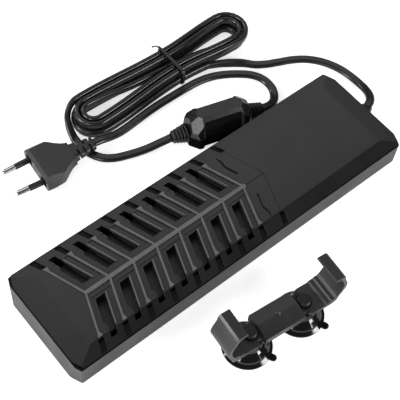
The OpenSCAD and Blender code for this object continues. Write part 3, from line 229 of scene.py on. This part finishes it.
def hank_points(run_parts=14, fold_parts=12):
    h = HANK

    def along(x):
        """1 at the low end, 0 at the waist, -1 at the high end."""
        reach = h["x1"] - h["waist_x"] if x > h["waist_x"] else h["waist_x"] - h["x0"]
        return (h["waist_x"] - x) / reach

    def waist(x):
        return math.cos(math.radians(90 * min(1, abs(along(x))))) ** 2

    def turns(k):
        return k if k <= h["mid"] else 2 * h["mid"] - k

    def point(k, x):
        w, c = waist(x), along(x)
        off = h["r"] - turns(k) * h["step"] / 2
        tied = h["r"] - h["draw"] - turns(k) * h["waist_step"] / 2
        if k == h["mid"]:
            share = smooth_step((abs(c) - CROSSING) / (1 - CROSSING))
            y = math.copysign(1, c) * off * share
            z = LOW_Z + (HIGH_Z - LOW_Z) * smooth_step(c + 0.5)
        else:
            side = (-1 if k % 2 == 0 else 1) if k < h["mid"] else (1 if k % 2 == 0 else -1)
            y = side * (off * (1 - w) + tied * w)
            z = LOW_Z if k < h["mid"] else HIGH_Z
        return np.array([x, h["y"] + y, z + h["lift"] * w])

    pts = []
    for k in range(h["runs"]):
        a = h["start_x"] if k == 0 else (h["x1"] if k % 2 == 0 else h["x0"])
        b = h["x0"] if k == h["runs"] - 1 or k % 2 == 0 else h["x1"]
        pts += [point(k, a + (b - a) * j / run_parts) for j in range(run_parts + 1)]
        if k < h["runs"] - 1:
            p, q = point(k, b), point(k + 1, b)
            r, c = np.linalg.norm((p - q)[:2]) / 2, (p + q) / 2
            out, up = (-1 if k % 2 == 0 else 1), (1 if p[1] > c[1] else -1)
            for j in range(1, fold_parts):
                t = math.pi * j / fold_parts
                fold = (out * r * math.sin(t), up * r * math.cos(t), 0)
                pts.append(c + np.array(fold))
    return pts


def heading(turn):
    a = math.radians(turn)
    return (math.cos(a), math.sin(a), 0)


def make_cords():
    section = cord_section()
    hank = hank_points()
    lead = spline(HEATER_ROUTE + [tuple(hank[0])], SPAN_STEPS)
    tail = spline([tuple(hank[-1])] + BOX_ROUTE
                  + [box_point(-BOX_L / 2 - RELIEF, 0, BOX_AXIS_Z)], SPAN_STEPS)
    path = [p * MM for p in lead[:-1] + hank + tail[1:]]
    enters = len(lead) - 1
    leaves = enters + len(hank)
    twists = []
    for i in range(len(path)):
        into = smooth_step((i - (enters - TURN_STEPS)) / TURN_STEPS)
        out = smooth_step((i - (leaves + TURN_DELAY)) / TURN_STEPS)
        twists.append(-90 * into * (1 - out))
    main = swept("main_lead", path, section, twists, (heading(GLAND_TURN), heading(BOX_TURN)))
    plug = spline([box_point(BOX_L / 2 + RELIEF, 0, BOX_AXIS_Z)] + PLUG_ROUTE
                  + [plug_point(PLUG_L + BOOT_L, 0)], SPAN_STEPS)
    plug = [p * MM for p in plug]
    second = swept("plug_lead", plug, section, [0] * len(plug),
                   (heading(BOX_TURN), heading(PLUG_TURN + 180)))
    for piece in (main, second):
        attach(piece, "heater")
    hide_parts("lead_heater", "lead_hank", "lead_control_box")
    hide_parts("lead_plug")
    return (main, path), (second, plug)


(main_lead, main_path), (plug_lead, plug_path) = make_cords()


# ---------------------------------------------------------------- materials

def new_material(name, color, rough, metal=0.0, specular=0.5):
    mat = bpy.data.materials.new(name)
    mat.use_nodes = True
    tree = mat.node_tree
    shader = tree.nodes["Principled BSDF"]
    shader.inputs["Base Color"].default_value = (*color, 1)
    shader.inputs["Roughness"].default_value = rough
    shader.inputs["Metallic"].default_value = metal
    shader.inputs["Specular IOR Level"].default_value = specular
    return mat, tree, shader


def noise(tree, scale, detail=3.0, rough=0.5):
    coords = tree.nodes.new("ShaderNodeTexCoord")
    tex = tree.nodes.new("ShaderNodeTexNoise")
    tex.inputs["Scale"].default_value = scale
    tex.inputs["Detail"].default_value = detail
    tex.inputs["Roughness"].default_value = rough
    tree.links.new(coords.outputs["Object"], tex.inputs["Vector"])
    return tex


def grey(level):
    return (level, level, level)


def scaled(color, factor, plus=0.0):
    return tuple(min(1, c * factor + plus) for c in color)


def ramp(tree, source, low, high, at=(0.3, 0.7)):
    """Blend from low to high, which are colours or plain levels, between the two places at."""
    node = tree.nodes.new("ShaderNodeValToRGB")
    tree.links.new(source, node.inputs["Fac"])
    for element, place, color in zip(node.color_ramp.elements, at, (low, high)):
        element.position = place
        element.color = (*color, 1) if isinstance(color, tuple) else (*grey(color), 1)
    return node.outputs["Color"]


def mixed(tree, factor, a, b, blend="MIX"):
    """a where the factor is 0 and b where it is 1; each is a socket or a constant."""
    node = tree.nodes.new("ShaderNodeMix")
    node.data_type = "RGBA"
    node.blend_type = blend
    for value, name in ((factor, "Factor"), (a, "A"), (b, "B")):
        socket = node.inputs[name]
        if hasattr(value, "is_output"):
            tree.links.new(value, socket)
        elif isinstance(value, tuple):
            socket.default_value = (*value, 1)
        else:
            socket.default_value = value
    return node.outputs["Result"]


def both(tree, a, b):
    return mixed(tree, 1.0, a, b, "MULTIPLY")


def bump(tree, shader, source, strength, distance):
    node = tree.nodes.new("ShaderNodeBump")
    node.inputs["Strength"].default_value = strength
    node.inputs["Distance"].default_value = distance
    tree.links.new(source, node.inputs["Height"])
    tree.links.new(node.outputs["Normal"], shader.inputs["Normal"])


# Width in metres of the strip beside an edge that is painted lighter, partly as wear from handling
# and partly as a painted highlight, and the cosines between the rounded and the true normal over
# which it fades out
EDGE_LIGHT_WIDTH = 0.0006
EDGE_LIGHT_COSINES = (0.86, 0.99)


def edge_wear_and_highlight(tree):
    """White along convex and concave edges, from the bevelled normal: the mask for edge wear and a
    painted edge highlight.
    """
    bevel = tree.nodes.new("ShaderNodeBevel")
    bevel.inputs["Radius"].default_value = EDGE_LIGHT_WIDTH
    geometry = tree.nodes.new("ShaderNodeNewGeometry")
    dot = tree.nodes.new("ShaderNodeVectorMath")
    dot.operation = "DOT_PRODUCT"
    tree.links.new(bevel.outputs["Normal"], dot.inputs[0])
    tree.links.new(geometry.outputs["Normal"], dot.inputs[1])
    return ramp(tree, dot.outputs["Value"], 1.0, 0.0, EDGE_LIGHT_COSINES)


def band(tree, axis, low, high, falling=False, mirrored=False, of="Object"):
    """1 beyond low to high along an axis of the coordinates, or before it when falling.

    Places are in metres in the object's frame; mirrored takes the distance from the middle."""
    coords = tree.nodes.new("ShaderNodeTexCoord")
    split = tree.nodes.new("ShaderNodeSeparateXYZ")
    tree.links.new(coords.outputs[of], split.inputs[0])
    place = split.outputs[axis]
    if mirrored:
        far = tree.nodes.new("ShaderNodeMath")
        far.operation = "ABSOLUTE"
        tree.links.new(place, far.inputs[0])
        place = far.outputs[0]
    step = tree.nodes.new("ShaderNodeMapRange")
    step.interpolation_type = "SMOOTHSTEP"
    step.inputs["From Min"].default_value = low
    step.inputs["From Max"].default_value = high
    step.inputs["To Min"].default_value = 1.0 if falling else 0.0
    step.inputs["To Max"].default_value = 0.0 if falling else 1.0
    tree.links.new(place, step.inputs["Value"])
    return step.outputs["Result"]


def between(tree, low, high, fade):
    """1 from low to high above the floor (millimetres), fading out over fade at either side."""
    above = band(tree, "Z", (low - fade[0]) * MM, low * MM)
    below = band(tree, "Z", high * MM, (high + fade[1]) * MM, falling=True)
    return both(tree, above, below)


def upright(tree):
    """1 on walls and 0 on slopes and floors."""
    return band(tree, "Z", 0.4, 0.6, falling=True, mirrored=True, of="Normal")


# Scales of a moulding's three noises, and the depth in metres of each surface's grain
CLOUD_SCALE, PATCH_SCALE, GRAIN_SCALE = 38, 210, 2600
GRAIN_DEPTH, RUBBER_DEPTH, METAL_DEPTH = 0.00008, 0.00005, 0.00003
# Tones and mirroring of the joint line, on floors and on walls: a band painted dark and dull as
# painted shade in the joint
JOINT_SHADE_TONES, JOINT_SHADE_SHINES = (0.004, 0.001), (0.14, 0.0)
MIN_ROUGH = 0.02


def moulded(name, color, rough, grain=0.0, grain_scale=GRAIN_SCALE, wear_and_highlight=0.35, specular=0.5,
            rough_step=0.08, light=1.6, rib_highlight=None, parting=None, dull_below=None, walls=None):
    """Moulded plastic: spark-eroded grain, cloudy gloss, edges lighter from wear and a painted
    highlight.

    Heights are in millimetres. rib_highlight is (height, colour) for rib tops painted lighter as a
    painted highlight, parting the height of a joint line painted dark as shade in the joint,
    dull_below the height under which the piece doesn't mirror, walls is (height, half width,
    colour) for upright faces below the height within the half width, painted lighter as light in
    the slots."""
    mat, tree, shader = new_material(name, color, rough, specular=specular)
    mirrors = shader.inputs["Specular IOR Level"]
    cloud = noise(tree, CLOUD_SCALE, 4).outputs["Fac"]
    fine = noise(tree, grain_scale, 2, 0.6).outputs["Fac"]
    patchy = noise(tree, PATCH_SCALE, 3).outputs["Fac"]
    base = ramp(tree, cloud, scaled(color, 0.86), scaled(color, 1.14))
    base = both(tree, base, ramp(tree, fine, 0.88, 1.12, (0.35, 0.65)))
    # Edges painted lighter in random patches, partly as wear and partly as a painted highlight
    edge = both(tree, edge_wear_and_highlight(tree), ramp(tree, patchy, 0.0, wear_and_highlight, (0.38, 0.7)))
    base = mixed(tree, edge, base, scaled(color, light, 0.02))
    # Painted highlight: the tops of the ribs are painted lighter where they would catch the light
    if rib_highlight:
        height, tone = rib_highlight
        top = band(tree, "Z", (height + 0.02) * MM, (height + 0.2) * MM)
        top = both(tree, top, ramp(tree, patchy, 0.75, 1.0, (0.3, 0.6)))
        base = mixed(tree, top, base, tone)
    # Painted light: upright faces in the slotted part below the bay floors are painted lighter,
    # standing in for light reaching the slot walls
    if walls:
        height, half, tone = walls
        under = band(tree, "Z", (height - 0.3) * MM, (height - 0.1) * MM, falling=True)
        within = band(tree, "Y", (half - 1) * MM, (half + 1) * MM, falling=True, mirrored=True)
        inside = both(tree, both(tree, under, within), upright(tree))
        base = mixed(tree, inside, base, tone)
    # Painted shade: a band wider than the joint is painted near black, and dull on walls, as the
    # shade in the joint between the halves
    if parting:
        line = between(tree, parting - 0.6, parting + 1.0, (0.15, 0.1))
        tone, shine = (mixed(tree, upright(tree), grey(on_floors), grey(on_walls))
                       for on_floors, on_walls in (JOINT_SHADE_TONES, JOINT_SHADE_SHINES))
        base = mixed(tree, line, base, tone)
        tree.links.new(mixed(tree, line, grey(specular), shine), mirrors)
    tree.links.new(base, shader.inputs["Base Color"])
    gloss = ramp(tree, cloud, max(MIN_ROUGH, rough - rough_step), min(1, rough + rough_step))
    tree.links.new(gloss, shader.inputs["Roughness"])
    if dull_below:
        level = band(tree, "Z", dull_below * MM, (dull_below + 1) * MM)
        tree.links.new(ramp(tree, level, 0.0, specular, (0.0, 1.0)), mirrors)
    if grain:
        bump(tree, shader, fine, grain, GRAIN_DEPTH)
    return mat


def rubbery(name, color, rough, strength=0.1, matte_above=None):
    """Rubber or soft cord: cloudy gloss under a little dust, dull above a height if given."""
    mat, tree, shader = new_material(name, color, rough)
    cloud = noise(tree, 60, 4).outputs["Fac"]
    fine = noise(tree, 900, 3).outputs["Fac"]
    dust = noise(tree, 340, 6, 0.7).outputs["Fac"]
    base = ramp(tree, cloud, scaled(color, 0.85), scaled(color, 1.2, 0.002))
    dust = ramp(tree, dust, 0.0, 0.35, (0.6, 0.8))
    base = mixed(tree, dust, base, scaled(color, 1.5, 0.006))
    tree.links.new(base, shader.inputs["Base Color"])
    gloss = ramp(tree, cloud, max(MIN_ROUGH, rough - 0.06), rough + 0.08)
    if matte_above:
        knob = band(tree, "Z", (matte_above - 0.5) * MM, matte_above * MM)
        gloss = mixed(tree, knob, gloss, grey(0.5))
    tree.links.new(gloss, shader.inputs["Roughness"])
    bump(tree, shader, fine, strength, RUBBER_DEPTH)
    return mat


def metal(name, color, rough, turn_scale=0.0):
    """Bright metal; turn_scale draws its fine marks out across X, as turning does."""
    mat, tree, shader = new_material(name, color, rough, metal=1.0)
    fine = noise(tree, 900, 3)
    if turn_scale:
        mapping = tree.nodes.new("ShaderNodeMapping")
        mapping.inputs["Scale"].default_value = (turn_scale, 1, 1)
        coords = fine.inputs["Vector"].links[0].from_socket
        tree.links.new(coords, mapping.inputs["Vector"])
        tree.links.new(mapping.outputs["Vector"], fine.inputs["Vector"])
    marks = fine.outputs["Fac"]
    cloud = noise(tree, 70, 3).outputs["Fac"]
    base = ramp(tree, cloud, scaled(color, 0.85), color)
    tree.links.new(base, shader.inputs["Base Color"])
    gloss = ramp(tree, marks, rough - 0.05, rough + 0.12)
    tree.links.new(gloss, shader.inputs["Roughness"])
    bump(tree, shader, marks, 0.08, METAL_DEPTH)
    return mat


# Heights in millimetres: the heater's front face, the joint of its two halves, the floors of the
# grille's bays, the top of the control box's dull lower part, the foot of the suction cups' knobs
FACE_Z, PARTING_Z, BAY_Z = 20.6, 18.0, 20.1
BOX_SIDE_Z, KNOB_Z = 9, 13
# Half width in millimetres of the grille's slotted part
SLOTS_HALF = 24

MATERIALS = {
    "cover": moulded("cover_plastic", (0.012, 0.012, 0.0125), 0.28, grain=0.3, wear_and_highlight=0.25,
                     rough_step=0.05, rib_highlight=(FACE_Z, (0.12, 0.12, 0.122)), parting=PARTING_Z,
                     walls=(BAY_Z, SLOTS_HALF, grey(0.06))),
    "shell": moulded("shell_plastic", (0.015, 0.015, 0.0155), 0.36, grain=0.3, wear_and_highlight=0.3,
                     parting=PARTING_Z),
    # Painted light: the bars are a lighter grey than the cover, standing in for light on the floors
    # seen through the slots
    "bar": moulded("bar_ceramic", (0.05, 0.05, 0.05), 0.5, grain=0.6, grain_scale=1400),
    "bracket": moulded("bracket_plastic", (0.03, 0.03, 0.031), 0.38, grain=0.3, wear_and_highlight=0.4,
                       specular=0.35),
    "boot": moulded("boot_rubber", (0.014, 0.014, 0.0145), 0.42, grain=0.2, wear_and_highlight=0.3),
    "box": moulded("box_plastic", (0.006, 0.006, 0.006), 0.26, grain=0.1, wear_and_highlight=0.3,
                   rough_step=0.05, light=3, dull_below=BOX_SIDE_Z),
    "plug": moulded("plug_plastic", (0.014, 0.014, 0.0145), 0.32, grain=0.2, wear_and_highlight=0.4),
    "cord": rubbery("cord_rubber", (0.012, 0.012, 0.0125), 0.25),
    "seal": rubbery("seal_rubber", (0.02, 0.02, 0.02), 0.6),
    "cup": rubbery("cup_rubber", (0.004, 0.004, 0.0042), 0.08, strength=0.02,
                   matte_above=KNOB_Z),
    "tie": moulded("tie_plastic", (0.012, 0.012, 0.012), 0.35, grain=0.2),
    "steel": metal("bright_metal", (0.62, 0.62, 0.64), 0.25, 6),
    "pin": metal("pin_metal", (0.78, 0.78, 0.8), 0.14),
    "can": metal("can_metal", (0.5, 0.52, 0.55), 0.35, 5),
    "board": moulded("board_green", (0.02, 0.11, 0.05), 0.3, grain=0.2, grain_scale=700),
    "module": moulded("module_plastic", (0.03, 0.03, 0.032), 0.3, grain=0.2),
    "relay": moulded("relay_plastic", (0.02, 0.07, 0.25), 0.4, grain=0.2),
    "wire": rubbery("wire_cover", (0.3, 0.03, 0.02), 0.45),
}

NODE_LOOKS = {
    "rear_shell": "shell", "front_grille": "cover", "control_cover": "cover", "bulkhead": "shell",
    "compartment_seal": "seal", "heating_bar_left": "bar", "heating_bar_right": "bar",
    "bar_end_caps": "seal", "bar_cradles": "shell", "temperature_probe": "steel",
    "heater_wires": "wire", "control_board": "board", "display_modules": "module",
    "power_relay": "relay", "smoothing_capacitor": "can", "triac_heat_sink": "can",
    "touch_pads": "seal", "case_screws": "steel", "cord_gland": "boot", "twist_tie": "tie",
    "box_base": "box", "box_top": "box", "box_board": "board", "box_screws": "steel",
    "box_relief_left": "boot", "box_relief_right": "boot", "plug_body": "plug",
    "plug_boot": "boot", "plug_pins": "pin", "pin_sleeves": "plug", "bracket_sleeve": "bracket",
    "jaw_left": "bracket", "jaw_right": "bracket", "suction_cup_left": "cup",
    "suction_cup_right": "cup", "cup_collar_left": "plug", "cup_collar_right": "plug",
}


def paint(piece, look):
    piece.data.materials.clear()
    piece.data.materials.append(MATERIALS[look])


# Edge radius in millimetres of the moulded pieces
EDGES = {
    "rear_shell": 0.4, "front_grille": 0.16, "control_cover": 0.2, "box_base": 0.4, "box_top": 0.5,
    "plug_body": 0.5, "plug_boot": 0.25, "bracket_sleeve": 0.35, "jaw_left": 0.35,
    "jaw_right": 0.35, "box_relief_left": 0.3, "box_relief_right": 0.3, "cup_collar_left": 0.15,
    "cup_collar_right": 0.15, "cord_gland": 0.3, "heating_bar_left": 0.2, "heating_bar_right": 0.2,
    "plug_pins": 0.1,
}

# Angle in degrees from which two facets meet in a crisp line, where it isn't SOFT_BREAK
SOFT_BREAK = 24
BREAKS = {
    "rear_shell": 5, "front_grille": 5, "control_cover": 5, "box_base": 9.3, "box_top": 9.3,
    "plug_body": 9.3, "bracket_sleeve": 9.3,
}


def soften(piece, radius, sharp):
    """Round the edges that are sharper than an angle, and keep the faces between them flat."""
    weld = piece.modifiers.new("weld", "WELD")
    weld.merge_threshold = 0.00001
    planar = piece.modifiers.new("planar", "DECIMATE")
    planar.decimate_type = "DISSOLVE"
    planar.angle_limit = math.radians(0.5)
    bevel = piece.modifiers.new("edges", "BEVEL")
    bevel.width = radius * MM
    bevel.segments = 2
    bevel.limit_method = "ANGLE"
    bevel.angle_limit = math.radians(sharp)
    bevel.use_clamp_overlap = True
    flat = piece.modifiers.new("flat", "WEIGHTED_NORMAL")
    flat.keep_sharp = True
    flat.weight = 100


def dress_nodes():
    for name, look in NODE_LOOKS.items():
        piece = nodes[name]
        paint(piece, look)
        sharp = BREAKS.get(name, SOFT_BREAK)
        if name in EDGES:
            soften(piece, EDGES[name], sharp)
        piece.data.shade_smooth()
        piece.data.set_sharp_from_angle(angle=math.radians(sharp))


dress_nodes()
for lead in (main_lead, plug_lead):
    paint(lead, "cord")


# ---------------------------------------------------------------- stage and light

# Half the floor's side and how far it lies under the pieces, in metres
FLOOR_HALF, FLOOR_DROP = 3.0, 0.0002
# How much the floor glows for each kind of ray, which leaves it its shadows
FLOOR_GLOW = (("Is Camera Ray", 0.7), ("Is Glossy Ray", 0.3), ("Is Transmission Ray", 0.3))
WORLD_LEVEL = 0.1


def make_stage():
    corners = [(x * FLOOR_HALF, y * FLOOR_HALF, 0) for x, y in ((-1, -1), (1, -1), (1, 1), (-1, 1))]
    floor = mesh_piece("floor", corners, [[0, 1, 2, 3]], smooth=False)
    floor.location.z = -FLOOR_DROP
    mat = bpy.data.materials.new("floor_white")
    mat.use_nodes = True
    tree = mat.node_tree
    shader = tree.nodes["Principled BSDF"]
    shader.inputs["Base Color"].default_value = (*grey(0.92), 1)
    shader.inputs["Roughness"].default_value = 0.9
    output = tree.nodes["Material Output"]
    glow = tree.nodes.new("ShaderNodeEmission")
    glow.inputs["Color"].default_value = (1, 1, 1, 1)
    rays = tree.nodes.new("ShaderNodeLightPath")
    strength = None
    for kind, share in FLOOR_GLOW:
        step = tree.nodes.new("ShaderNodeMath")
        step.operation = "MULTIPLY_ADD"
        tree.links.new(rays.outputs[kind], step.inputs[0])
        step.inputs[1].default_value = share
        step.inputs[2].default_value = 0.0
        if strength:
            tree.links.new(strength, step.inputs[2])
        strength = step.outputs[0]
    tree.links.new(strength, glow.inputs["Strength"])
    summed = tree.nodes.new("ShaderNodeAddShader")
    tree.links.new(shader.outputs[0], summed.inputs[0])
    tree.links.new(glow.outputs[0], summed.inputs[1])
    tree.links.new(summed.outputs[0], output.inputs["Surface"])
    floor.data.materials.append(mat)


def area_light(name, place, target, size, power, size_y=None):
    """Square lamp, or oblong when size_y is given, aimed at a target; metres and watts."""
    data = bpy.data.lights.new(name, "AREA")
    data.energy = power
    data.size = size
    if size_y:
        data.shape = "RECTANGLE"
        data.size_y = size_y
    lamp = link(bpy.data.objects.new(name, data))
    lamp.location = place
    lamp.rotation_mode = "QUATERNION"
    lamp.rotation_quaternion = (Vector(target) - Vector(place)).to_track_quat("-Z", "Y")


def make_light():
    world = bpy.data.worlds.new("world")
    bpy.context.scene.world = world
    world.use_nodes = True
    shade = world.node_tree.nodes["Background"]
    shade.inputs["Color"].default_value = (1, 1, 1, 1)
    shade.inputs["Strength"].default_value = WORLD_LEVEL
    # Broad dim box over the far side, which the flat front mirrors and the near chamfer misses
    area_light("broad", (0.45, 0.62, 0.8), (0.45, 0.62, 0), 1.3, 2.9, 0.8)
    # Two low windows, which every bell and edge picks up
    area_light("window_left", (-0.95, 0.4, 0.42), (0, -0.02, 0), 0.34, 9, 0.42)
    area_light("window_front", (0.42, -0.98, 0.42), (0, 0, 0), 0.4, 8.2, 0.34)
    # Dim window between them, which corner facets mirror
    area_light("window_corner", (-0.92, -0.33, 0.46), (0, 0, 0), 0.32, 3.4)
    area_light("back", (-0.3, 1.3, 0.7), (0, 0, 0), 0.4, 4)


make_stage()
make_light()
bpy.context.scene.view_settings.view_transform = "Standard"
